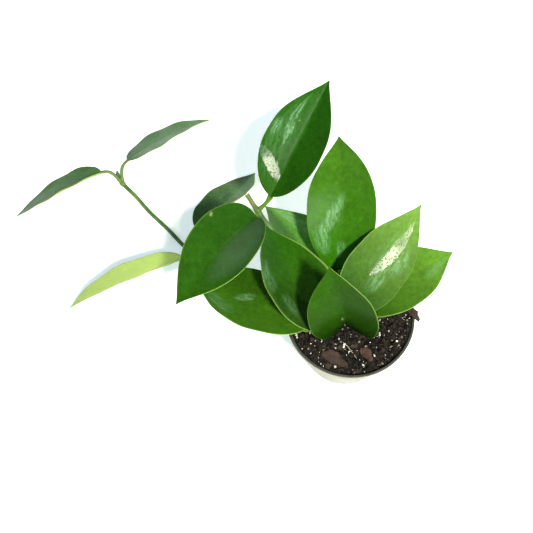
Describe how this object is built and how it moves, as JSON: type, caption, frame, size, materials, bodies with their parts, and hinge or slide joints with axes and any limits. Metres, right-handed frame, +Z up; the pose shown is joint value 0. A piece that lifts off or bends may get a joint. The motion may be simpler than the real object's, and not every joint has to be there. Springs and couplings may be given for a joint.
{
  "type": "potted hoya plant",
  "caption": "Young wax plant with thick pointed oval leaves on short stems in a round nursery pot, and a long runner that crosses the rim and lies along the surface.",
  "frame": {"origin": "centre of the pot's base, on the surface that the pot stands on", "axes": "+Z up, +Y away from the front, +X to the right; the runner lies along the surface to the left and the back"},
  "size_m": [0.3974, 0.3272, 0.1754],
  "materials": {
    "pot_plastic": "thin off-white polypropylene, slightly translucent, satin",
    "soil": "coarse dark potting mix of bark crumbs with white perlite grains",
    "bark": "weathered bark chips, matt and fibrous",
    "stem": "smooth young green vine, satin",
    "leaf": "thick waxy leaf, semi-gloss, with a sunken pale midrib"
  },
  "bodies": {
    "root": {"pot": "pot_plastic", "soil": "soil", "bark_chip_large": "bark", "bark_chip_edge": "bark", "bark_chip_red": "bark", "bark_chip_rim": "bark", "stem_leaning": "stem", "stem_stump": "stem", "stem_runner": "stem", "leaf_high_back": "leaf", "leaf_high_front": "leaf", "leaf_back_upright": "leaf", "leaf_back_low": "leaf", "leaf_right_high": "leaf", "leaf_right_low": "leaf", "leaf_front_cupped": "leaf", "leaf_left_high": "leaf", "leaf_left_low": "leaf", "leaf_runner_back": "leaf", "leaf_runner_front": "leaf", "leaf_end_left": "leaf", "leaf_end_right": "leaf"}
  },
  "joints": []
}
